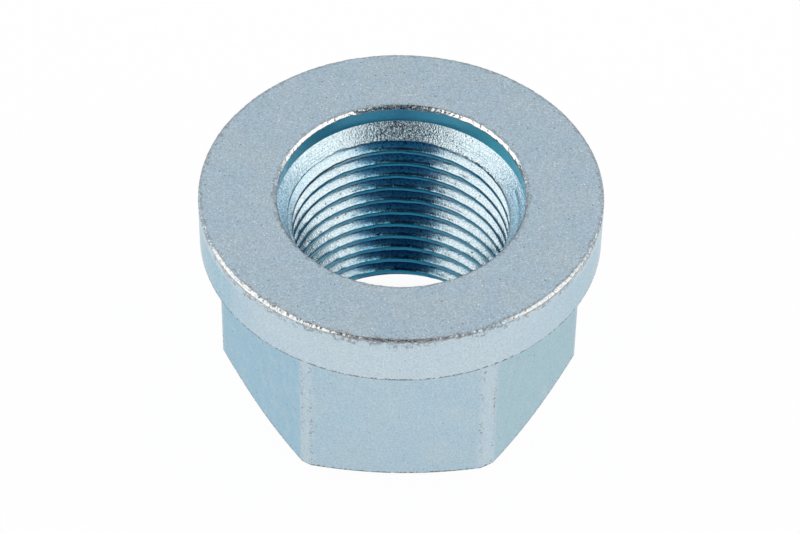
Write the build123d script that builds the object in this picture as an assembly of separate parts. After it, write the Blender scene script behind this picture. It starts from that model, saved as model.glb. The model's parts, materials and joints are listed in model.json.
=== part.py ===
from build123d import *
import os
from math import cos, radians, sqrt, tan

# Lug nut, M20 x 1.5, forged and turned from one piece of steel: a hexagonal
# wrench body with a round collar on top. The collar's flat face is the seat.
# Millimetres, +Z along the thread. The origin is the centre of the free end
# face of the hexagon, and two of the flats face -Y and +Y.

# Overall
nut_height = 20.8

# Hexagonal body
across_flats = 27.0
corner_turn_off = 0.19       # radial depth turned off each sharp corner
end_chamfer_inset = 0.9      # from the flats in to the flat ring on the free end
end_chamfer_angle = 25.0     # slope of the turned chamfer on the free end

# Collar
collar_overhang = 1.6        # from the turned corners out to the collar's side
collar_thickness = 4.9
collar_rim_break = 0.3       # chamfer round the seat face
collar_back_break = 0.2      # chamfer round the side towards the hexagon
collar_root_radius = 0.4     # forged radius between the hexagon and the collar

# Thread: plain here at its minor diameter
thread_major_diameter = 20.0
thread_pitch = 1.5
thread_engagement = 0.625    # depth of engagement of an ISO thread, in triangle heights

# Openings of the bore
counterbore_clearance = 0.5  # all round the thread's major diameter
counterbore_depth = 1.8      # of its straight wall, with the mouth's broken edge
mouth_break = 0.3            # chamfer at the seat face
lead_in_angle = 45.0         # cone from the counterbore down to the thread
exit_clearance = 0.4         # countersink on the free end, round the major diameter
exit_angle = 45.0

# Worked out from the sizes above
sharp_corner_radius = across_flats / 2 / cos(radians(30))
corner_radius = sharp_corner_radius - corner_turn_off
end_face_radius = across_flats / 2 - end_chamfer_inset
end_chamfer_height = (corner_radius - end_face_radius) * tan(radians(end_chamfer_angle))
collar_radius = corner_radius + collar_overhang
collar_back_z = nut_height - collar_thickness
thread_triangle_height = thread_pitch * sqrt(3) / 2
major_radius = thread_major_diameter / 2
minor_radius = major_radius - thread_engagement * thread_triangle_height
counterbore_radius = major_radius + counterbore_clearance
counterbore_floor_z = nut_height - counterbore_depth
lead_in_height = (counterbore_radius - minor_radius) / tan(radians(lead_in_angle))
exit_radius = major_radius + exit_clearance
exit_height = (exit_radius - minor_radius) / tan(radians(exit_angle))


def turned(*points):
    """A solid of revolution about Z from its half profile, given as (radius, z)."""
    return revolve(make_face(Plane.XZ * Polyline(*points, close=True)), Axis.Z)


def hexagon_body():
    """The wrench hexagon, with its corners and its free end turned."""
    flats = RegularPolygon(across_flats / 2, 6, major_radius=False)
    prism = extrude(flats, amount=collar_back_z)
    envelope = turned(
        (0, 0),
        (end_face_radius, 0),
        (corner_radius, end_chamfer_height),
        (corner_radius, collar_back_z),
        (0, collar_back_z),
    )
    return prism & envelope


def collar():
    """The round collar, with both of its edges broken."""
    return turned(
        (0, collar_back_z),
        (collar_radius - collar_back_break, collar_back_z),
        (collar_radius, collar_back_z + collar_back_break),
        (collar_radius, nut_height - collar_rim_break),
        (collar_radius - collar_rim_break, nut_height),
        (0, nut_height),
    )


def bore():
    """Everything that is cut out along the axis: counterbore, lead-in, thread core, exit."""
    return turned(
        (0, 0),
        (exit_radius, 0),
        (minor_radius, exit_height),
        (minor_radius, counterbore_floor_z - lead_in_height),
        (counterbore_radius, counterbore_floor_z),
        (counterbore_radius, nut_height - mouth_break),
        (counterbore_radius + mouth_break, nut_height),
        (0, nut_height),
    )


def lug_nut():
    """Hexagon and collar joined with the forged radius, then bored through."""
    blank = hexagon_body() + collar()
    collar_back = blank.faces().filter_by_position(Axis.Z, collar_back_z, collar_back_z)[0]
    blank = fillet(collar_back.inner_wires().edges(), collar_root_radius)
    return blank - bore()


os.makedirs("parts", exist_ok=True)
nut = lug_nut()
nut.label = "lug_nut"
export_step(nut, "parts/lug_nut.step")
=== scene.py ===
import json
from math import acos, cos, degrees, exp, pi, radians, sin, tan
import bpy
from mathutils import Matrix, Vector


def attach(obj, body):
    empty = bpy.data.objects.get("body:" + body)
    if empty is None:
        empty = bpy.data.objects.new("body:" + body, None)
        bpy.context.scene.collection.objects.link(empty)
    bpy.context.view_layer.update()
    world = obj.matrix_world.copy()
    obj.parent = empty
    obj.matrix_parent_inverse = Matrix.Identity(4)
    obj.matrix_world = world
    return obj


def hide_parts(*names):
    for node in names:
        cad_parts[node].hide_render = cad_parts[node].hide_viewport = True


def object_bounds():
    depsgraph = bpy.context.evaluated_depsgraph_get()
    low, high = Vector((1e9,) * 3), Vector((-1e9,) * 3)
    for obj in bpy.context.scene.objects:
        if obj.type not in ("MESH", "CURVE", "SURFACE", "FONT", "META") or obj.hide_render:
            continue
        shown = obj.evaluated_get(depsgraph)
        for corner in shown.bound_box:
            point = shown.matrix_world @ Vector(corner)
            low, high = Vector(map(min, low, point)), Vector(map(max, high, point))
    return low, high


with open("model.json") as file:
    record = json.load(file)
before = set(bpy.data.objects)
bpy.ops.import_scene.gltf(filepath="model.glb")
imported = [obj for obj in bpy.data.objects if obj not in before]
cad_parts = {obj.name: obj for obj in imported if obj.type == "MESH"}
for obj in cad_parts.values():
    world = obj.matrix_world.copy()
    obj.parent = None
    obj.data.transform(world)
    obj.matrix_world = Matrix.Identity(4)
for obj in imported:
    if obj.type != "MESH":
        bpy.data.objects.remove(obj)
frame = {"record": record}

from types import SimpleNamespace

import bpy
import numpy as np
from mathutils import Quaternion, Vector, noise

# A zinc-plated lug nut. The CAD solid has the forged and turned form with a plain bore. The
# mesh made here replaces it: the same form, with the thread cut into the bore and with the
# uneven, worn edges of a plated part. Lengths are in millimetres up to the last step.

cad_low, cad_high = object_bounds()
MM = 0.001

# ---------------------------------------------------------------- sizes of the nut

mounts = {mount["name"]: mount for mount in frame["record"]["mounts"]}
HEIGHT = cad_high.z / MM
COLLAR_R = min(-cad_low.x, -cad_low.y, cad_high.x, cad_high.y) / MM
MINOR_R = mounts["stud_thread"]["dims"]["r_mm"]
THREAD_START = mounts["stud_thread"]["pos_m"][2] / MM - mounts["stud_thread"]["dims"]["length_mm"] / 2

FLAT = 13.5                  # from the axis to a flat of the hexagon
END_FACE_R = 12.6            # outer edge of the flat ring on the free end
END_SLOPE = tan(radians(25))  # turned chamfer of the free end
COLLAR_BACK = 15.9           # height of the collar's underside
ROOT_R = 0.4                 # forged radius under the collar
BACK_BREAK = 0.2             # broken edge of the collar's underside
COUNTERBORE_R = 10.5
COUNTERBORE_FLOOR = 19.0     # height where the lead-in cone starts
WALL_FOOT = 0.03             # from that height up to the lowest ring on the counterbore's wall
EXIT_R = MINOR_R + THREAD_START  # 45 degree countersink on the free end
LEAD_IN_END = COUNTERBORE_FLOOR - (COUNTERBORE_R - MINOR_R)
MAJOR_R = 10.0
PITCH = 1.5
CREST_AT_BACK = 16.53        # height of a crest on the +Y side, which sets the thread's phase

# Corners of the hexagon by direction in degrees, and how far out each was turned: forging
# leaves them uneven.
CORNER_R = {0: 15.40, 60: 15.36, 120: 15.42, 180: 15.40, 240: 15.34, 300: 15.25}

# How much painted sheen, as a paler colour, each corner's turned strip gets
STRIP_SHINE = {0: 0.5, 60: 0.7, 120: 0.4, 180: 0.5, 240: 0.25, 300: 0.6}

# The plating's film on each flat, by the flat's direction in degrees: how much there is, and
# how green it is rather than blue
FILM = {30: (0.5, 0.5), 90: (0.2, 0.0), 150: (0.7, 0.3),
        210: (1.0, 0.0), 270: (0.3, 0.0), 330: (0.9, 1.0)}

# ---------------------------------------------------------------- columns of the mesh

STRIP_STEPS = 2              # mesh columns over a turned corner
FLAT_STEPS = 38              # mesh columns over a flat
FINE = 4                     # columns at the worn edges for each column elsewhere
ROUNDING = 1e-9              # in radians, so that a strip's own edges count as on it


def corner_half_angle(corner):
    return radians(30) - acos(FLAT / CORNER_R[corner])


def coarse_columns():
    """Directions of the mesh columns in radians, with one at each edge of each corner strip."""
    angles = []
    for corner in range(0, 360, 60):
        start = radians(corner) - corner_half_angle(corner)
        end = radians(corner) + corner_half_angle(corner)
        following = radians(corner + 60) - corner_half_angle((corner + 60) % 360)
        angles += list(np.linspace(start, end, STRIP_STEPS, endpoint=False))
        angles += list(np.linspace(end, following, FLAT_STEPS, endpoint=False))
    return angles


def fine_columns(coarse):
    following = coarse[1:] + [coarse[0] + 2 * pi]
    angles = []
    for start, end in zip(coarse, following):
        angles += list(np.linspace(start, end, FINE, endpoint=False))
    return angles


COARSE = coarse_columns()
FINE_COLUMNS = fine_columns(COARSE)


def hexagon(angle):
    """Radius of the hexagon in a direction, distance to the nearest strip's edge, and film.

    The distance is zero or less on a strip.
    """
    turn = degrees(angle) % 360
    corner = round(turn / 60) * 60 % 360
    off_corner = radians(30) - abs(radians(turn % 60 - 30))
    if off_corner <= corner_half_angle(corner) + ROUNDING:
        inside = CORNER_R[corner] * (corner_half_angle(corner) - off_corner)
        return CORNER_R[corner], -max(inside, 0.0), (0.0, 0.0)
    from_middle = radians(turn % 60 - 30)
    strip_edge = FLAT * tan(radians(30) - corner_half_angle(corner))
    to_strip = strip_edge - FLAT * abs(tan(from_middle))
    return FLAT / cos(from_middle), to_strip, FILM[int(turn // 60) * 60 + 30]


# ---------------------------------------------------------------- mesh builder

FAR = 9.0                    # the distance marks' value away from the places they mark


class Skin:
    """Points, faces and surface marks of one closed skin, built ring by ring.

    The marks tell the plating's material where it is:
    edge    across a worn edge: -1 to 1 on it, then millimetres beyond, - on the wall's side
    lip     distance from the nearest lower edge of the collar or the hexagon
    corner  distance from the nearest edge of a strip at the hexagon's corners
    film    how much coloured film the plating has; on the counterbore's wall also how much paler it is painted as sheen
    green   how green that film is
    bore    1 inside the bore
    deep  1 on the thread's crests, which are painted dark blue as shade
    hollow  1 where the plating is painted teal as shade and made matt: under the thread, and far down
    in it dusk  1 down the back of the thread, where it is painted darker and bluer as shade, and less
    above it
    rough   how coarse the plating's crystals are
    turned  how much a turned surface stands out, painted paler as sheen outside and dark teal as
    shade in the bore: collar, corner strips and counterbore's wall polish  on a worn edge, 1 where it
    was rubbed to bright metal and 0 where it is only dirty
    """

    DEFAULTS = {"edge": -FAR, "lip": FAR, "corner": FAR, "film": 0.0, "green": 0.0, "bore": 0.0,
                "deep": 0.0, "hollow": 0.0, "dusk": 0.0, "rough": 0.0, "turned": 0.0, "polish": 0.0}

    def __init__(self):
        self.points = []
        self.faces = []
        self.sharp = set()
        self.marks = {name: [] for name in self.DEFAULTS}

    def point(self, r, angle, z, **marks):
        self.points.append((r * cos(angle) * MM, r * sin(angle) * MM, z * MM))
        for name, usual in self.DEFAULTS.items():
            self.marks[name].append(marks.get(name, usual))
        return len(self.points) - 1

    def ring(self, columns, place, crisp=False, **marks):
        """A closed ring of points. place(angle) gives (radius, height) and its own marks."""
        made = []
        for angle in columns:
            r, z, *own = place(angle)
            made.append(self.point(r, angle, z, **marks, **(own[0] if own else {})))
        if crisp:
            self.crease(made + made[:1])
        return made

    def crease(self, run):
        for a, b in zip(run, run[1:]):
            self.sharp.add((min(a, b), max(a, b)))

    def face(self, *corners):
        kept = [c for i, c in enumerate(corners) if c != corners[i - 1]]
        if len(set(kept)) >= 3:
            self.faces.append(kept)

    def bridge(self, first, second):
        """Faces between two rings. One of them may have FINE times the other's points."""
        if len(first) == len(second):
            for i in range(len(first)):
                j = (i + 1) % len(first)
                self.face(first[i], first[j], second[j], second[i])
        elif len(first) < len(second):
            for a, b, run in self.fans(first, second):
                for k in range(FINE):
                    near = a if k < FINE / 2 else b
                    self.face(near, run[k + 1], run[k])
                self.face(a, b, run[FINE // 2])
        else:
            for a, b, run in self.fans(second, first):
                for k in range(FINE):
                    near = a if k < FINE / 2 else b
                    self.face(near, run[k], run[k + 1])
                self.face(b, a, run[FINE // 2])

    def fans(self, coarse, fine):
        for i, a in enumerate(coarse):
            run = [fine[(i * FINE + k) % len(fine)] for k in range(FINE + 1)]
            yield a, coarse[(i + 1) % len(coarse)], run

    def to_object(self, name):
        mesh = bpy.data.meshes.new(name)
        mesh.from_pydata(self.points, [], self.faces)
        mesh.validate()
        mesh.shade_smooth()
        for mark, values in self.marks.items():
            mesh.attributes.new(mark, "FLOAT", "POINT").data.foreach_set("value", values)
        pairs = np.zeros(len(mesh.edges) * 2, np.int32)
        mesh.edges.foreach_get("vertices", pairs)
        crisp = [(min(a, b), max(a, b)) in self.sharp for a, b in pairs.reshape(-1, 2).tolist()]
        mesh.attributes.new("sharp_edge", "BOOLEAN", "EDGE").data.foreach_set("value", crisp)
        piece = bpy.data.objects.new(name, mesh)
        bpy.context.scene.collection.objects.link(piece)
        return piece


# ---------------------------------------------------------------- values by direction

def clamp(value):
    return min(max(value, 0.0), 1.0)


def wander(angle, radius, wavelength, seed):
    """Smooth noise from about -1 to 1 round a circle, with a wavelength in millimetres."""
    x, y = radius * cos(angle) / wavelength, radius * sin(angle) / wavelength
    return 2 * noise.noise(Vector((x, y, seed)))


def lump(angle, radius, z, wavelength, seed):
    """Noise, mostly from 0 to 1, on the surface of an edge."""
    spot = Vector((radius * cos(angle), radius * sin(angle), z)) / wavelength
    return 0.5 + noise.fractal(spot + Vector((0, 0, seed)), 0.8, 2.1, 3)


def hump(angle, middle, spread):
    """1 in the direction middle, falling off over spread on both sides, both in degrees."""
    off = (degrees(angle) - middle + 180) % 360 - 180
    return exp(-(off / spread) ** 2)


def plateau(angle, middle, spread):
    """As hump, but flat on top and steeper at its sides."""
    off = (degrees(angle) - middle + 180) % 360 - 180
    return exp(-(off / spread) ** 4)


def ramp(angle, start, end):
    """0 up to the direction start and 1 from end on, both in degrees."""
    t = clamp((degrees(angle) % 360 - start) / (end - start))
    return t * t * (3 - 2 * t)


def varied(angle, usual, *humps):
    """A usual value plus humps, each with its height, and its direction and spread in degrees."""
    for height, middle, spread in humps:
        usual += height * hump(angle, middle, spread)
    return usual


# ---------------------------------------------------------------- worn edges

# Each profile is a usual value in millimetres and humps for varied(). The rim is most worn at
# its front left, then at its right.
RIM_WIDE = (0.13, (0.22, 226, 24), (0.06, 268, 20), (0.13, 316, 22))
RIM_DROP = (0.12, (0.08, 226, 26), (0.07, 270, 22), (0.10, 316, 22))
MOUTH_WIDE = (0.21, (0.06, 50, 22), (-0.07, 92, 20))
MOUTH_DROP = (0.25, (0.10, 90, 24))

# How far the counterbore's wall leans in at its top: rolled in at the back, and worn out at
# the front, where the value is below zero
WALL_LEAN = (0.05, (0.15, 150, 40), (0.06, 60, 40), (-0.38, 264, 50))

# Stretches of the rim that were rubbed: how bright, and then the directions in degrees where
# the brightness starts, is full, starts to fade and has gone
RIM_POLISH = (
    (1.0, 202, 208, 248, 258),
    (0.27, 250, 260, 284, 292),
    (0.36, 297, 305, 326, 342),
)

RIM_SHINE = 0.8              # how much painted sheen the rim's turned wall gets
WALL_ROUGH = 0.15            # crystals on the counterbore's wall
WALL_SHEEN_LEFT = 0.8         # painted sheen, as a paler and greener film, on that wall at its left
WALL_SHEEN_RIGHT = 1.3        # and at its right, where it is cut off at 1
BACK = 92                    # direction of the bore's darkest painted shade, in degrees
MOUTH_SHADE_SPREAD = 17        # how wide the painted shade at the back of the mouth is, in degrees
MOUTH_ROUGH = 0.5            # crystals in that part
MOUTH_BACK_SHADE = 0.45            # and how dark that painted shade is
DENT = 0.07                  # depth of the dents in a worn edge
DENT_SIZE = 0.33             # their wavelength
DIAGONAL = 0.7               # share of a dent's depth that goes outwards, and down


def rim_polish(angle):
    polish = 0.0
    for amount, start, full, fading, gone in RIM_POLISH:
        polish += amount * ramp(angle, start, full) * (1 - ramp(angle, fading, gone))
    return polish


def mouth_polish(angle):
    """Only the back half of the mouth was rubbed."""
    return clamp(3.5 * sin(angle) - 0.9)


def rim_wall(angle, below):
    return COLLAR_R, {"turned": RIM_SHINE}


def counterbore_wall(angle, below):
    """The counterbore's turned wall, painted dark teal as shade, and greener and paler as painted
    sheen at its left and even more at its right.
    """
    lean = varied(angle, *WALL_LEAN)
    above_floor = 1 - below / (HEIGHT - COUNTERBORE_FLOOR)
    side = cos(angle)
    film = min(WALL_SHEEN_RIGHT * side, 1.0) if side > 0 else -WALL_SHEEN_LEFT * side
    marks = {"bore": 1.0, "turned": 1.0, "film": film, "rough": WALL_ROUGH}
    return COUNTERBORE_R - lean * max(above_floor, 0.0), marks


class WornEdge:
    """The rubbed, rounded edge between an upright wall and the seat face.

    wide and drop are profiles for varied(). inner is -1 for the rim, where the face lies nearer
    the axis than the wall, and 1 for the mouth. tilts are how far the edge leans over, in
    degrees, where it meets the wall and where it meets the face. The rings run from the wall to
    the face.
    """

    STEPS = 6

    # Unevenness, as shares of the width and of the drop: amount, wavelength and seed
    WIDE_WAVES = ((0.16, 1.9, 0), (0.14, 0.5, 5))
    DROP_WAVES = ((0.2, 2.3, 9), (0.16, 0.55, 13))

    def __init__(self, wall, wide, drop, polish, inner, tilts, seed):
        self.wall = wall
        self.usual_wide = wide
        self.usual_drop = drop
        self.polish = polish
        self.inner = inner
        self.tilts = [radians(tilt) for tilt in tilts]
        self.seed = seed

    def uneven(self, angle, waves):
        r, _ = self.wall(angle, 0.0)
        share = 1
        for amount, wavelength, seed in waves:
            share += amount * wander(angle, r, wavelength, self.seed + seed)
        return share

    def wide(self, angle):
        return varied(angle, *self.usual_wide) * self.uneven(angle, self.WIDE_WAVES)

    def drop(self, angle):
        return varied(angle, *self.usual_drop) * self.uneven(angle, self.DROP_WAVES)

    def arc(self, t):
        """Shares of the width and of the drop, from t 0 at the wall to t 1 at the face."""
        low, high = self.tilts
        tilt = low + (high - low) * t
        out = (sin(low) - sin(tilt)) / (sin(low) - sin(high))
        down = (cos(high) - cos(tilt)) / (cos(high) - cos(low))
        return out, down

    def across(self, t):
        """A ring on the edge itself."""
        out, down = self.arc(t)

        def place(angle):
            drop = self.drop(angle)
            wall_r, _ = self.wall(angle, drop)
            r = wall_r + self.inner * self.wide(angle) * out
            z = HEIGHT - drop * down
            lumps = lump(angle, wall_r, z, DENT_SIZE, self.seed)
            dent = max(DENT * lumps * 4 * t * (1 - t), 0.0)
            marks = {"polish": self.polish(angle)}
            if self.inner > 0:
                # Painted shade, with coarser crystals, at the back of the mouth
                dim = hump(angle, BACK, MOUTH_SHADE_SPREAD)
                marks["bore"] = clamp(4 * sin(angle) - 1.0)
                marks["rough"] = MOUTH_ROUGH * dim
                marks["dusk"] = MOUTH_BACK_SHADE * dim
            return r + self.inner * dent * DIAGONAL, z - dent * DIAGONAL, marks
        return place

    def on_wall(self, away):
        """A ring on the wall, away millimetres below the edge."""
        def place(angle):
            below = self.drop(angle) + away
            r, marks = self.wall(angle, below)
            return r, HEIGHT - below, {"polish": self.polish(angle), **marks}
        return place

    def on_face(self, away):
        """A ring on the seat face, away millimetres beyond the edge."""
        def place(angle):
            wall_r, _ = self.wall(angle, self.drop(angle))
            r = wall_r + self.inner * (self.wide(angle) + away)
            return r, HEIGHT, {"polish": self.polish(angle)}
        return place

    def rings(self, skin, wall_steps, face_steps):
        made = []
        for away in reversed(wall_steps):
            made.append(skin.ring(FINE_COLUMNS, self.on_wall(away), edge=-1 - away))
        for i in range(self.STEPS + 1):
            t = i / self.STEPS
            made.append(skin.ring(FINE_COLUMNS, self.across(t), edge=2 * t - 1))
        for away in face_steps:
            made.append(skin.ring(FINE_COLUMNS, self.on_face(away), edge=1 + away))
        return made


# ---------------------------------------------------------------- outside of the nut

# Where the rings of the mesh lie: shares of a stretch, or millimetres
END_FACE_ROWS = (0, 0.5, 1)
CHAMFER_ROWS = (0.33, 0.66, 0.95)
ABOVE_EDGE_ROWS = (0.1, 0.25, 0.5, 1.0, 2.0)
SIDE_ROWS = (0.2, 0.4, 0.6, 0.8, 1.0)
ROOT_STEPS = 5
ABOVE_BREAK_ROWS = (0.0, 0.1, 0.25, 0.5)
COLLAR_ROWS = (17.2, 18.0, 18.8, 19.6)
SEAT_ROWS = (15.4, 14.2, 13.0, 12.0)

FRONT_SHINE = 0.2            # how much of the turned places' painted sheen the flat at the front gets
FRONT_SPREAD = 30            # how wide that is, in degrees

# Film on the collar's side, and how green it is, as humps for varied()
COLLAR_FILM = (0.0, (1.15, 201, 20), (0.75, 341, 24))
COLLAR_GREEN = (0.0, (0.9, 194, 11), (0.8, 345, 20))
FILM_DULLS = 0.9             # how much of the painted sheen on turned places that film hides


def chamfer(angle, t):
    """A point of the free end's turned chamfer, from t 0 at the end face to t 1 at the flats."""
    r, to_strip, (film, green) = hexagon(angle)
    r = END_FACE_R + (r - END_FACE_R) * t
    # Painted sheen: paler on the corner strips, and a little on the flat at the front
    if to_strip <= 0:
        turned = STRIP_SHINE[round(degrees(angle) / 60) * 60 % 360]
    else:
        turned = FRONT_SHINE * plateau(angle, 270, FRONT_SPREAD)
    marks = {"corner": abs(to_strip), "film": film * t, "green": green, "turned": turned}
    return r, (r - END_FACE_R) * END_SLOPE, marks


def collar_side(z):
    """A ring round the collar's side, painted paler as sheen, with a bluer film at its left and right
    that hides some of that sheen.
    """
    def place(angle):
        film = min(varied(angle, *COLLAR_FILM), 1.0)
        green = varied(angle, *COLLAR_GREEN)
        return COLLAR_R, z, {"film": film, "green": green, "turned": 1.0 - FILM_DULLS * film}
    return place


def outside(skin):
    """Rings from the free end up to the worn rim's lower side."""
    rings = []
    for t in END_FACE_ROWS:
        r = EXIT_R + (END_FACE_R - EXIT_R) * t
        rings.append(skin.ring(COARSE, lambda a, r=r: (r, 0.0), crisp=t in (0, 1)))
    for t in CHAMFER_ROWS:
        rings.append(skin.ring(COARSE, lambda a, t=t: chamfer(a, t)))
    rings.append(skin.ring(COARSE, lambda a: chamfer(a, 1), crisp=True, lip=0.0))

    side_top = COLLAR_BACK - ROOT_R
    sides = [rings[-1]]
    last_row = ABOVE_EDGE_ROWS[-1]
    for away in ABOVE_EDGE_ROWS:
        def above_edge(angle, away=away):
            r, z, marks = chamfer(angle, 1)
            return r, z + away, marks
        sides.append(skin.ring(COARSE, above_edge, lip=away))
    for t in SIDE_ROWS:
        def side(angle, t=t):
            r, z, marks = chamfer(angle, 1)
            return r, z + last_row + (side_top - z - last_row) * t, marks
        sides.append(skin.ring(COARSE, side))
    for column in range(len(COARSE)):
        if column % (STRIP_STEPS + FLAT_STEPS) in (0, STRIP_STEPS):
            skin.crease([ring[column] for ring in sides])
    rings += sides[1:]

    for i in range(1, ROOT_STEPS + 1):
        turn = i / ROOT_STEPS * pi / 2

        def root(angle, turn=turn):
            return hexagon(angle)[0] + ROOT_R * (1 - cos(turn)), side_top + ROOT_R * sin(turn)

        rings.append(skin.ring(COARSE, root))

    back_edge = COLLAR_R - BACK_BREAK
    rings.append(skin.ring(COARSE, lambda a: (back_edge, COLLAR_BACK), crisp=True, lip=BACK_BREAK))
    for away in ABOVE_BREAK_ROWS:
        height = COLLAR_BACK + BACK_BREAK + away
        rings.append(skin.ring(COARSE, collar_side(height), crisp=away == 0, lip=away))
    for z in COLLAR_ROWS:
        rings.append(skin.ring(COARSE, collar_side(z)))
    return rings


def seat(skin):
    """Rings over the worn rim, the seat face, the worn mouth and the counterbore."""
    rim = WornEdge(rim_wall, RIM_WIDE, RIM_DROP, rim_polish, inner=-1, tilts=(90, 0), seed=3.0)
    mouth = WornEdge(counterbore_wall, MOUTH_WIDE, MOUTH_DROP, mouth_polish,
                     inner=1, tilts=(66, 16), seed=31.0)
    rings = rim.rings(skin, (0.15, 0.4, 0.7), (0.1, 0.3, 0.7))
    for r in SEAT_ROWS:
        rings.append(skin.ring(FINE_COLUMNS, lambda a, r=r: (r, HEIGHT), edge=FAR))
    rings += reversed(mouth.rings(skin, (0.06, 0.4), (0.1, 0.3)))
    return rings


# ---------------------------------------------------------------- thread

# One pitch of an internal ISO thread, as places along the axis in pitches from the middle of
# a crest. The crest's corners are eased, and the root is rounded on its lower side.
CREST_HALF = 0.125
ROOT_HALF = 0.0625
THREAD_STEPS = (-0.5, -0.44, -0.38, -0.32, -0.26, -0.19, -0.135, -0.105, 0.0,
                0.105, 0.135, 0.17, 0.25, 0.36, 0.43)
CREST_EASE = 0.02            # softening of the crest's edges, in pitches
BEND_DEPTH = 0.35            # where the upward flank starts to curve into the root
RAGGED = 0.04                # how far the crests wander up and down
RAGGED_SIZE = 0.8            # wavelength of that
RAGGED_SEED = 60
NEAR_CREST = CREST_HALF + 0.05
FIRST_SHADED_CREST = LEAD_IN_END - 1.0  # the crests above this run out into the cone, stay pale and get no painted shade
TURNS = range(-2, 13)        # turns of the thread, enough to reach past both ends of the bore
SNAP = 0.03                  # a point this close to an end of the thread joins that end's ring

THREAD_SHADE_SPREAD = 21      # how wide the painted shade down the back of the thread is, in degrees
CONE_SHADE_SPREAD = 19        # and of the lead-in cone
CONE_BACK_SHADE = 0.17             # how dark the painted shade at the cone's back is
GROOVE_SHADE_AWAY = 0.4            # how much painted teal shade and mattness the thread's root gets away from the back


def side_film(angle):
    """Film on the lead-in cone and the first crests, at the left and the right only."""
    return cos(angle) ** 12


def thread_depth(place):
    """Depth below the crest, 0 to 1, at a place in pitches from the middle of the crest."""
    flank = 0.5 - ROOT_HALF - CREST_HALF
    t = (abs(place) - CREST_HALF) / flank
    ease = CREST_EASE / flank
    if t < -ease:
        return 0.0
    if t < ease:
        return (t + ease) ** 2 / (4 * ease)
    if place < 0 and t > BEND_DEPTH:
        root = (0.5 - CREST_HALF) / flank
        return BEND_DEPTH + (1 - BEND_DEPTH) * (t - BEND_DEPTH) / (root - BEND_DEPTH)
    return min(t, 1.0)


def thread_place(place, angle, z):
    """Radius and marks of the bore with its thread, lead-in cone and countersink."""
    depth = thread_depth(place)
    thread = MINOR_R + (MAJOR_R - MINOR_R) * depth
    lead_in = COUNTERBORE_R - (COUNTERBORE_FLOOR - z)
    way_out = EXIT_R - z
    r = max(thread, lead_in, way_out)
    # Painted shade: darker and bluer down the back of the bore, teal under the thread and far down in
    # it, dark blue on the crests
    dusk = plateau(angle, BACK, THREAD_SHADE_SPREAD)
    film = side_film(angle) * clamp((z - FIRST_SHADED_CREST) / 0.5)
    if r > thread:
        return r, {"rough": 1.0, "film": film, "dusk": CONE_BACK_SHADE * dusk}
    if place < -CREST_HALF:
        hollow = max(dusk * clamp((depth - 0.2) / 0.2), GROOVE_SHADE_AWAY * max(2 * depth - 1, 0.0))
        return r, {"rough": 0.2, "film": film, "dusk": dusk, "hollow": hollow}
    if place > CREST_HALF:
        return r, {"hollow": 1.0, "dusk": dusk}
    return r, {"deep": clamp((FIRST_SHADED_CREST - z) / 0.15), "film": film, "dusk": dusk}


def threaded(skin, top, bottom, top_z, bottom_z):
    """Helical rows of points down the bore, from the ring top to the ring bottom."""
    per_turn = len(THREAD_STEPS)
    rows = [(turn, step) for turn in TURNS for step in THREAD_STEPS]
    table = {}

    def index(row, column):
        if column == len(COARSE):
            row, column = row - per_turn, 0
        if row < 0:
            return top[column]
        if row >= len(rows):
            return bottom[column]
        if (row, column) not in table:
            turn, step = rows[row]
            angle = COARSE[column]
            rise = PITCH * (angle - pi / 2) / (2 * pi)
            z = CREST_AT_BACK + rise - PITCH * (turn + step)
            if abs(step) < NEAR_CREST:
                seed = RAGGED_SEED + 3 * (turn - angle / (2 * pi))
                z += RAGGED * wander(angle, MINOR_R, RAGGED_SIZE, seed)
            if z > top_z - SNAP:
                table[row, column] = top[column]
            elif z < bottom_z + SNAP:
                table[row, column] = bottom[column]
            else:
                r, marks = thread_place(step, angle, z)
                table[row, column] = skin.point(r, angle, z, bore=1.0, **marks)
        return table[row, column]

    for row in range(-1, len(rows)):
        for column in range(len(COARSE)):
            skin.face(index(row, column), index(row, column + 1),
                      index(row + 1, column + 1), index(row + 1, column))


def build_nut():
    skin = Skin()
    rings = outside(skin) + seat(skin)
    floor_z = COUNTERBORE_FLOOR
    wall_foot = floor_z + WALL_FOOT

    def foot(angle):
        r, marks = counterbore_wall(angle, HEIGHT - wall_foot)
        return r, wall_foot, marks

    rings.append(skin.ring(COARSE, foot))
    for r in (COUNTERBORE_R, (COUNTERBORE_R + MAJOR_R) / 2, MAJOR_R):
        def lead_in(angle, r=r):
            # Painted shade at the back of the cone
            dusk = CONE_BACK_SHADE * plateau(angle, BACK, CONE_SHADE_SPREAD)
            marks = {"rough": 1.0, "film": side_film(angle), "dusk": dusk}
            return r, floor_z - COUNTERBORE_R + r, marks
        rings.append(skin.ring(COARSE, lead_in, crisp=r == COUNTERBORE_R, bore=1.0))
    way_out = skin.ring(COARSE, lambda a: (MAJOR_R, EXIT_R - MAJOR_R), bore=1.0)
    for first, second in zip(rings, rings[1:]):
        skin.bridge(first, second)
    threaded(skin, rings[-1], way_out, floor_z - COUNTERBORE_R + MAJOR_R, EXIT_R - MAJOR_R)
    skin.bridge(way_out, rings[0])
    return skin.to_object("lug_nut_plated")


nut = build_nut()
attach(nut, "root")
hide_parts("lug_nut")


# ---------------------------------------------------------------- materials

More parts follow.
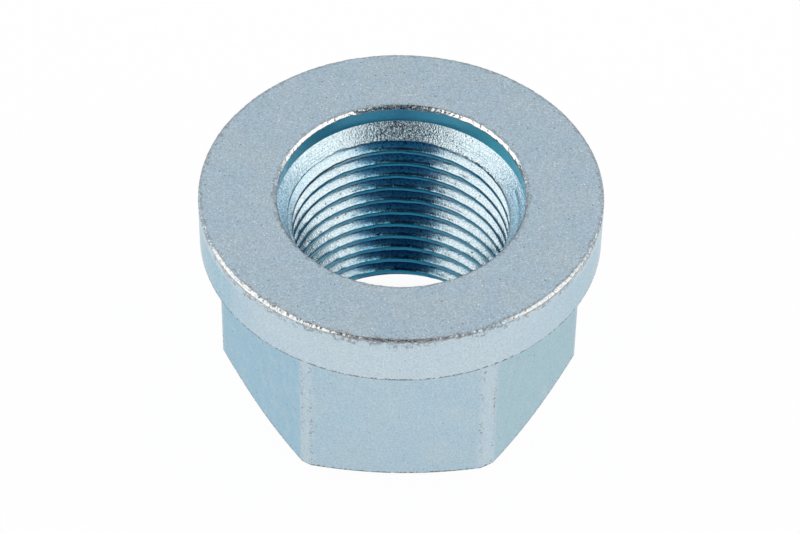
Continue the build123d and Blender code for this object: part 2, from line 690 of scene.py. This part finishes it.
class Graph:
    """Short calls for building a material's nodes."""

    def __init__(self, tree):
        self.tree = tree
        tree.nodes.clear()

    def node(self, kind, inputs=None, **settings):
        made = self.tree.nodes.new(kind)
        for name, value in settings.items():
            setattr(made, name, value)
        for name, value in (inputs or {}).items():
            if isinstance(value, bpy.types.NodeSocket):
                self.tree.links.new(value, made.inputs[name])
            else:
                made.inputs[name].default_value = value
        return made

    def math(self, operation, a, b=0.0):
        return self.node("ShaderNodeMath", {0: a, 1: b}, operation=operation).outputs[0]

    def product(self, first, *others):
        for other in others:
            first = self.math("MULTIPLY", first, other)
        return first

    def sum(self, first, *others):
        for other in others:
            first = self.math("ADD", first, other)
        return first

    def highest(self, first, *others):
        for other in others:
            first = self.math("MAXIMUM", first, other)
        return first

    def mix(self, fac, a, b):
        made = self.node("ShaderNodeMix", {0: fac, 6: a, 7: b}, data_type="RGBA")
        return made.outputs[2]

    def scaled(self, vector, factor):
        made = self.node("ShaderNodeVectorMath", {0: vector, 3: factor}, operation="SCALE")
        return made.outputs[0]

    def steps(self, value, low, high, out_low=0.0, out_high=1.0):
        """out_low where value is low or less, out_high where it is high or more, smooth between."""
        inputs = {"Value": value, "From Min": low, "From Max": high,
                  "To Min": out_low, "To Max": out_high}
        return self.node("ShaderNodeMapRange", inputs, interpolation_type="SMOOTHSTEP").outputs[0]

    def contour(self, value, level, width):
        """1 where value is at a level, falling to 0 within a width of it."""
        off = self.math("ABSOLUTE", self.math("SUBTRACT", value, level))
        return self.steps(off, 0.0, width, 1.0, 0.0)

    def noise(self, where, scale, detail=2.0, roughness=0.5):
        inputs = {"Vector": where, "Scale": scale, "Detail": detail, "Roughness": roughness}
        return self.node("ShaderNodeTexNoise", inputs).outputs["Fac"]

    def shifted(self, where, amount):
        made = self.node("ShaderNodeVectorMath", {0: where, 1: (amount,) * 3}, operation="ADD")
        return made.outputs[0]

    def dots(self, where, scale, radius, share):
        """Round dots, from half of radius to 1.3 times it, in millimetres.

        share is how many of the cells have one.
        """
        cell = self.node("ShaderNodeTexVoronoi", {"Vector": where, "Scale": scale}).outputs
        chance = self.node("ShaderNodeSeparateColor", {0: cell["Color"]}).outputs
        size = self.math("MULTIPLY_ADD", chance[1], radius * scale * 0.8)
        size.node.inputs[2].default_value = radius * scale * 0.5
        inside = self.math("SUBTRACT", size, cell["Distance"])
        dot = self.steps(inside, -0.02, 0.05)
        return self.product(dot, self.math("LESS_THAN", chance[0], share))

    def attribute(self, name):
        return self.node("ShaderNodeAttribute", attribute_name=name).outputs["Fac"]


def rgb(r, g, b):
    return (r, g, b, 1.0)


# Outside: two close blues, the film, wisps in the film and in the blue, and the painted sheen of
# turned places
BLUE = rgb(0.515, 0.625, 0.68)
OTHER_BLUE = rgb(0.485, 0.61, 0.69)
BLUE_FILM = rgb(0.315, 0.535, 0.665)
GREEN_FILM = rgb(0.362, 0.555, 0.625)
FILM_WISPS = rgb(0.46, 0.60, 0.67)
GREY_WISPS = rgb(0.60, 0.60, 0.64)
TURNED_SHEEN = rgb(0.62, 0.725, 0.79)

# In the bore: the plating, the grains of its film, matt places under and far down in the thread
# painted teal as shade, crests painted dark blue as shade, the counterbore's wall painted dark teal
# as shade and paler at its sides as sheen, and the cutting tool's arcs. Those named for the back are
# the same things painted darker as shade at the bore's back.
BORE = rgb(0.49, 0.575, 0.60)
BORE_BACK_SHADE = rgb(0.14, 0.40, 0.52)
DARK_GRAINS = rgb(0.24, 0.47, 0.61)
PALE_GRAINS = rgb(0.56, 0.73, 0.81)
SHADED_GROOVE = rgb(0.24, 0.60, 0.78)
GROOVE_BACK_SHADE = rgb(0.0, 0.19, 0.42)
SHADED_CREST = rgb(0.085, 0.36, 0.51)
CREST_BACK_SHADE = rgb(0.0, 0.235, 0.40)
SHADED_WALL = rgb(0.018, 0.205, 0.36)
WALL_SIDE_SHEEN = rgb(0.10, 0.50, 0.64)
ARCS = rgb(0.13, 0.30, 0.38)

# Painted glints, worn edges with painted shade at the back of the mouth, and dirt, whose colours also
# paint the shade along the lower edges
SPARKLE = rgb(0.95, 0.97, 0.98)
RUBBED = rgb(0.67, 0.645, 0.60)
RUBBED_COOL = rgb(0.50, 0.55, 0.57)
RUBBED_MOUTH = rgb(0.67, 0.67, 0.65)
RUBBED_MOUTH_BACK_SHADE = rgb(0.06, 0.17, 0.24)
UNRUBBED = rgb(0.25, 0.225, 0.205)
BROWN = rgb(0.20, 0.16, 0.13)
SOIL_AND_SHADE = rgb(0.16, 0.13, 0.11)
DARK_SOIL_AND_SHADE = rgb(0.10, 0.095, 0.09)

# Height and width of each arc that the cutting tool left low on the lead-in cone
TOOL_ARCS = ((18.28, 0.035), (18.42, 0.03), (18.62, 0.025))

BASE_ROUGHNESS = 0.38
RELIEF = 0.014 * MM          # height of the bump from crystals and grains


class Plating(Graph):
    """Zinc plating led by the skin's marks. Its noises take places in millimetres."""

    def __init__(self, tree):
        super().__init__(tree)
        metres = self.node("ShaderNodeTexCoord").outputs["Object"]
        self.mm = self.scaled(metres, 1 / MM)
        self.marks = SimpleNamespace(**{name: self.attribute(name) for name in Skin.DEFAULTS})

        self.fuzz = self.noise(self.mm, 3.5, 3.0, 0.6)
        self.grain = self.noise(self.mm, 6.0, 2.0, 0.5)
        self.clouds = self.noise(self.mm, 0.35, 3.0)
        self.wisps = self.other_noise(40.0, 0.9, 4.0, 0.6)
        self.flecks = self.other_noise(71.0, 5.5, 3.0, 0.65)

        self.off_bore = self.steps(self.marks.bore, 0.0, 0.5, 1.0, 0.0)
        self.off_turned = self.steps(self.marks.turned, 0.0, 0.6, 1.0, 0.4)
        self.off_hexagon = self.steps(self.marks.corner, FAR - 0.8, FAR - 0.2)

        # The worn edges with a ragged outline, and how bare they are
        self.across = self.math("ABSOLUTE", self.marks.edge)
        self.ragged = self.sum(self.across, self.steps(self.fuzz, 0.3, 0.7, -0.10, 0.10))
        self.on_edge = self.steps(self.ragged, 0.85, 1.10, 1.0, 0.0)
        self.bare = self.product(self.on_edge, self.steps(self.marks.polish, 0.0, 0.4, 0.2, 1.0))

    def other_noise(self, offset, scale, detail=2.0, roughness=0.5):
        """Noise from another part of the pattern, so that it doesn't follow the others."""
        return self.noise(self.shifted(self.mm, offset), scale, detail, roughness)

    def outer_colour(self):
        """Two close blues in soft patches, bluer or greener film, and turned places painted paler as
        sheen.
        """
        marks = self.marks
        colour = self.mix(self.steps(self.clouds, 0.35, 0.65), BLUE, OTHER_BLUE)
        filmed = self.mix(marks.green, BLUE_FILM, GREEN_FILM)
        filmed = self.mix(self.steps(self.wisps, 0.40, 0.70, 0.0, 0.5), filmed, FILM_WISPS)
        share = self.product(marks.film, self.steps(self.wisps, 0.2, 0.5, 0.75, 1.0))
        colour = self.mix(share, colour, filmed)
        colour = self.mix(self.steps(self.wisps, 0.60, 0.78, 0.0, 0.35), colour, GREY_WISPS)
        return self.mix(self.product(marks.turned, 0.45), colour, TURNED_SHEEN)

    def bore_colour(self):
        """Pale, with painted shade: darker and bluer at the back and on the crests, and teal on the
        counterbore's wall.
        """
        marks = self.marks
        colour = self.mix(marks.dusk, BORE, BORE_BACK_SHADE)
        grains = self.mix(self.steps(self.grain, 0.4, 0.6), DARK_GRAINS, PALE_GRAINS)
        colour = self.mix(marks.film, colour, grains)
        dark = self.steps(marks.dusk, 0.0, 0.5)
        colour = self.mix(marks.hollow, colour, self.mix(dark, SHADED_GROOVE, GROOVE_BACK_SHADE))
        colour = self.mix(marks.deep, colour, self.mix(dark, SHADED_CREST, CREST_BACK_SHADE))
        return self.mix(marks.turned, colour, self.mix(marks.film, SHADED_WALL, WALL_SIDE_SHEEN))

    def mottled(self, colour):
        """Uneven brightness: less on turned places, and more off the hexagon."""
        mottle = self.steps(self.other_noise(63.0, 7.5, 3.0, 0.7), 0.3, 0.7, -0.17, 0.17)
        mottle = self.product(mottle, self.steps(self.marks.turned, 0.0, 1.0, 1.0, 0.55),
                              self.sum(0.75, self.product(self.off_hexagon, 0.4)))
        grains = self.steps(self.grain, 0.3, 0.7, 0.95, 1.05)
        return self.scaled(colour, self.product(grains, self.sum(1.0, mottle)))

    def tool_arcs(self):
        """Fine, broken arcs on the lead-in cone, which wander a little in height."""
        height = self.node("ShaderNodeSeparateXYZ", {0: self.mm}).outputs["Z"]
        height = self.sum(height, self.product(self.clouds, 0.25))
        arcs = self.highest(*[self.contour(height, level, width) for level, width in TOOL_ARCS])
        on_cone = self.steps(self.marks.rough, 0.9, 1.0)
        return self.product(arcs, on_cone, self.steps(self.other_noise(13.0, 0.3), 0.42, 0.55))

    def sparkle(self):
        """Crystals that catch the light, mostly on the seat face and the collar."""
        crowd = self.noise(self.mm, 0.5)
        large = self.dots(self.mm, 3.2, 0.05, self.steps(crowd, 0.4, 0.6, 0.25, 0.8))
        small = self.dots(self.shifted(self.mm, 5.3), 4.5, 0.035,
                          self.steps(crowd, 0.35, 0.6, 0.3, 0.9))
        return self.product(self.highest(large, small), self.off_bore, self.off_turned,
                            self.sum(0.12, self.product(self.off_hexagon, 0.88)))

    def pits(self):
        share = self.steps(self.clouds, 0.42, 0.62, 0.08, 0.6)
        pits = self.dots(self.shifted(self.mm, 17.0), 2.4, 0.065, share)
        return self.product(pits, self.off_turned)

    def worn_colour(self):
        """Bare metal, bright where it was rubbed, with painted shade at the back of the mouth, and
        with flecks.
        """
        marks = self.marks
        patches = self.steps(self.other_noise(97.0, 2.6), 0.40, 0.60)
        rubbed = self.mix(patches, RUBBED, RUBBED_COOL)
        rubbed = self.mix(marks.bore, rubbed, self.mix(marks.dusk, RUBBED_MOUTH, RUBBED_MOUTH_BACK_SHADE))
        worn = self.mix(self.steps(marks.polish, 0.0, 0.45), UNRUBBED, rubbed)
        brown = self.product(self.steps(self.flecks, 0.56, 0.64, 0.0, 0.75),
                             self.steps(marks.bore, 0.0, 0.5, 1.0, 0.15))
        return self.mix(brown, worn, BROWN)

    def shade_specks(self, colour):
        """Painted shade: darkens coarse crystals down the back of the bore and the mouth."""
        specks = self.steps(self.other_noise(51.0, 6.5, 2.0, 0.6), 0.40, 0.50, -0.85, 0.0)
        specks = self.product(specks, self.marks.rough, self.marks.dusk, 5.0)
        return self.scaled(colour, self.sum(1.0, specks))

    def rim_line(self):
        """A dark, broken line along both sides of a worn edge."""
        line = self.contour(self.ragged, 1.03, 0.07)
        return self.product(line, self.steps(self.flecks, 0.42, 0.55, 0.25, 0.8))

    def burrs(self):
        """Dark burrs that reach unevenly from the worn edge, less far over the face."""
        reach = self.steps(self.other_noise(29.0, 1.0, 3.0, 0.6), 0.36, 0.64, 0.04, 0.85)
        reach = self.product(reach, self.steps(self.marks.edge, -0.5, 0.5, 1.0, 0.4))
        beyond = self.math("SUBTRACT", self.across, 1.0)
        within = self.steps(self.math("SUBTRACT", reach, beyond), -0.06, 0.08)
        return self.product(within, self.steps(beyond, -0.02, 0.02),
                            self.steps(self.other_noise(83.0, 2.9, 3.0, 0.7), 0.44, 0.57),
                            self.off_bore)

    def grime(self):
        """Dark granules on the worn edge where it wasn't rubbed."""
        return self.product(self.on_edge, self.steps(self.marks.polish, 0.0, 0.4, 1.0, 0.0),
                            self.steps(self.flecks, 0.42, 0.54), self.off_bore)

    def lip_line(self):
        """Painted shade: a dark line along the lower edges of the collar and the hexagon."""
        ragged = self.sum(self.marks.lip, self.steps(self.fuzz, 0.3, 0.7, -0.12, 0.10))
        return self.steps(ragged, 0.02, 0.12, 1.0, 0.0)

    def corner_specks(self):
        """Specks along the edges of the corner strips."""
        ragged = self.sum(self.marks.corner, self.steps(self.fuzz, 0.3, 0.7, -0.3, 0.3))
        return self.product(self.steps(ragged, -0.05, 0.1, 1.0, 0.0),
                            self.steps(self.grain, 0.47, 0.57), self.steps(self.wisps, 0.42, 0.56))

    def dirt_and_shade(self, pits):
        # Dirt, and the painted shade of the line along the lower edges
        return self.highest(self.product(self.rim_line(), 0.9), self.product(self.burrs(), 0.5),
                            self.product(self.grime(), 0.65), self.product(pits, 0.75),
                            self.product(self.lip_line(), 0.8),
                            self.product(self.corner_specks(), 0.75))

    def colour(self, dirt_and_shade):
        colour = self.mottled(self.mix(self.marks.bore, self.outer_colour(), self.bore_colour()))
        colour = self.mix(self.product(self.tool_arcs(), 0.6), colour, ARCS)
        colour = self.mix(self.sparkle(), colour, SPARKLE)
        colour = self.shade_specks(self.mix(self.bare, colour, self.worn_colour()))
        return self.mix(dirt_and_shade, colour, self.mix(self.wisps, SOIL_AND_SHADE, DARK_SOIL_AND_SHADE))

    def metallic(self, dirt_and_shade):
        """Dirt is matt, and so are parts of the bore."""
        marks = self.marks
        bore_matt = self.highest(self.product(marks.deep, 0.35), self.product(marks.hollow, 0.7),
                                 self.product(marks.turned, 0.45), self.product(marks.film, 0.8))
        matt = self.highest(self.product(dirt_and_shade, 0.8), self.product(bore_matt, marks.bore))
        return self.math("SUBTRACT", 1.0, matt)

    def roughness(self, dirt_and_shade):
        """Smoother in the bore and on bare metal, and rougher in hollows and on dirt."""
        marks = self.marks
        satin = self.highest(self.product(marks.hollow, 0.25),
                             self.steps(marks.rough, 0.0, 0.2, 0.0, 0.05))
        rubbed = self.product(self.bare, self.steps(marks.bore, 0.0, 0.5, -0.14, 0.0))
        return self.sum(BASE_ROUGHNESS, self.product(marks.bore, -0.25), satin, rubbed,
                        self.product(dirt_and_shade, 0.2))

    def bump(self, pits):
        marks = self.marks
        fine = self.product(self.grain, self.steps(marks.bore, 0.0, 0.5, 0.4, 0.0))
        crystals = self.sum(self.product(marks.bore, 0.2), self.product(marks.rough, 4.3),
                            self.product(self.bare, 1.8))
        coarse = self.product(self.noise(self.mm, 7.0, 1.0, 0.6), crystals)
        relief = self.sum(fine, coarse, self.product(pits, -0.5))
        inputs = {"Height": relief, "Strength": 1.0, "Distance": RELIEF}
        return self.node("ShaderNodeBump", inputs).outputs[0]


def plating():
    material = bpy.data.materials.new("zinc_plated_steel")
    material.use_nodes = True
    g = Plating(material.node_tree)
    pits = g.pits()
    dirt_and_shade = g.dirt_and_shade(pits)
    shader = g.node("ShaderNodeBsdfPrincipled", {
        "Base Color": g.colour(dirt_and_shade), "Metallic": g.metallic(dirt_and_shade),
        "Roughness": g.roughness(dirt_and_shade), "Normal": g.bump(pits),
    })
    g.node("ShaderNodeOutputMaterial", {"Surface": shader.outputs[0]})
    return material


nut.data.materials.append(plating())


# ---------------------------------------------------------------- studio

WHITE = rgb(1, 1, 1)
FLOOR_WHITE = rgb(0.9, 0.9, 0.9)
CEILING = rgb(0.0015, 0.015, 0.045)  # dark blue, between the softboxes
FLOOR_SIZE = 4.0             # metres
SHOWN_WHITE = 0.96           # how much of the floor is plain white to the camera
MIRRORED_WHITE = 0.72        # and in the nut's reflections

# Softboxes: name, azimuth and elevation in degrees, distance, width and height in metres,
# radiance, and spin in degrees
SOFTBOXES = (
    ("left_softbox", -84, 37, 0.30, 0.54, 0.38, 1.55, -8),
    ("right_softbox", 84, 37, 0.30, 0.54, 0.38, 1.55, 8),
    ("back_softbox", 180, 45, 0.40, 0.62, 0.34, 0.735, 0),
    ("front_softbox", 0, 22, 0.60, 0.70, 0.16, 0.85, 0),
)

CAMERA_ELEVATION = 46.135    # degrees
CAMERA_ROLL = 0.911          # degrees
CAMERA_DISTANCE = 292.8      # from its target
TARGET_HEIGHT = 11.79        # on the nut's axis
LENS = 153.9
SENSOR = 36.0


def plane(name, size):
    half = size / 2
    corners = [(-half, -half, 0), (half, -half, 0), (half, half, 0), (-half, half, 0)]
    mesh = bpy.data.meshes.new(name)
    mesh.from_pydata(corners, [], [(0, 1, 2, 3)])
    made = bpy.data.objects.new(name, mesh)
    bpy.context.scene.collection.objects.link(made)
    return made


def white_floor():
    """A white floor that shows as white but keeps some of the nut's shadow."""
    floor = plane("floor", FLOOR_SIZE)
    material = bpy.data.materials.new("white_floor")
    material.use_nodes = True
    g = Graph(material.node_tree)
    path = g.node("ShaderNodeLightPath").outputs
    matt = g.node("ShaderNodeBsdfDiffuse", {"Color": FLOOR_WHITE}).outputs[0]
    glow = g.node("ShaderNodeEmission", {"Color": WHITE, "Strength": 1.0}).outputs[0]
    mirrored = g.highest(path["Is Glossy Ray"], path["Is Transmission Ray"])
    share = g.highest(g.product(path["Is Camera Ray"], SHOWN_WHITE),
                      g.product(mirrored, MIRRORED_WHITE))
    surface = g.node("ShaderNodeMixShader", {0: share, 1: matt, 2: glow}).outputs[0]
    g.node("ShaderNodeOutputMaterial", {"Surface": surface})
    floor.data.materials.append(material)


def studio_world():
    """White at eye level except in front, and a dark ceiling between the softboxes."""
    world = bpy.data.worlds.new("studio")
    bpy.context.scene.world = world
    world.use_nodes = True
    world.cycles.sampling_method = "NONE"
    g = Graph(world.node_tree)
    path = g.node("ShaderNodeLightPath").outputs
    direction = g.node("ShaderNodeTexCoord").outputs["Generated"]
    along = g.node("ShaderNodeSeparateXYZ", {0: direction}).outputs
    unlit = g.highest(g.steps(along["Z"], 0.1, 0.45), g.steps(along["Y"], -0.85, -0.5, 1.0, 0.0))
    room = g.mix(unlit, WHITE, CEILING)
    seen = g.mix(path["Is Camera Ray"], room, WHITE)
    shown = g.node("ShaderNodeBackground", {"Color": seen, "Strength": 1.0}).outputs[0]
    g.node("ShaderNodeOutputWorld", {"Surface": shown})


def softbox(name, azimuth, elevation, distance, width, height, radiance, spin):
    """A rectangular lamp aimed at the nut. Azimuth 0 is in front, at -Y, and 90 is at +X."""
    light = bpy.data.lights.new(name, "AREA")
    light.shape = "RECTANGLE"
    light.size = width
    light.size_y = height
    light.energy = radiance * pi * width * height
    lamp = bpy.data.objects.new(name, light)
    a, e = radians(azimuth), radians(elevation)
    away = Vector((sin(a) * cos(e), -cos(a) * cos(e), sin(e)))
    lamp.location = Vector((0, 0, HEIGHT * MM)) + away * distance
    lamp.rotation_mode = "QUATERNION"
    lamp.rotation_quaternion = away.to_track_quat("Z", "Y") @ Quaternion((0, 0, 1), radians(spin))
    bpy.context.scene.collection.objects.link(lamp)


def camera():
    """At the height and distance that give the photograph's view, with a slight roll."""
    elevation = radians(CAMERA_ELEVATION)
    roll = Quaternion((0, 0, 1), radians(CAMERA_ROLL))
    target = Vector((0, 0, TARGET_HEIGHT * MM))
    back = Vector((0, -cos(elevation), sin(elevation)))
    data = bpy.data.cameras.new("camera")
    data.lens = LENS
    data.sensor_width = SENSOR
    data.clip_start = 0.01
    data.clip_end = 20.0
    made = bpy.data.objects.new("camera", data)
    made.location = target + back * (CAMERA_DISTANCE * MM)
    made.rotation_mode = "QUATERNION"
    made.rotation_quaternion = (-back).to_track_quat("-Z", "Y") @ roll
    bpy.context.scene.collection.objects.link(made)
    bpy.context.scene.camera = made


white_floor()
studio_world()
for lamp in SOFTBOXES:
    softbox(*lamp)
camera()

bpy.context.scene.view_settings.view_transform = "Standard"
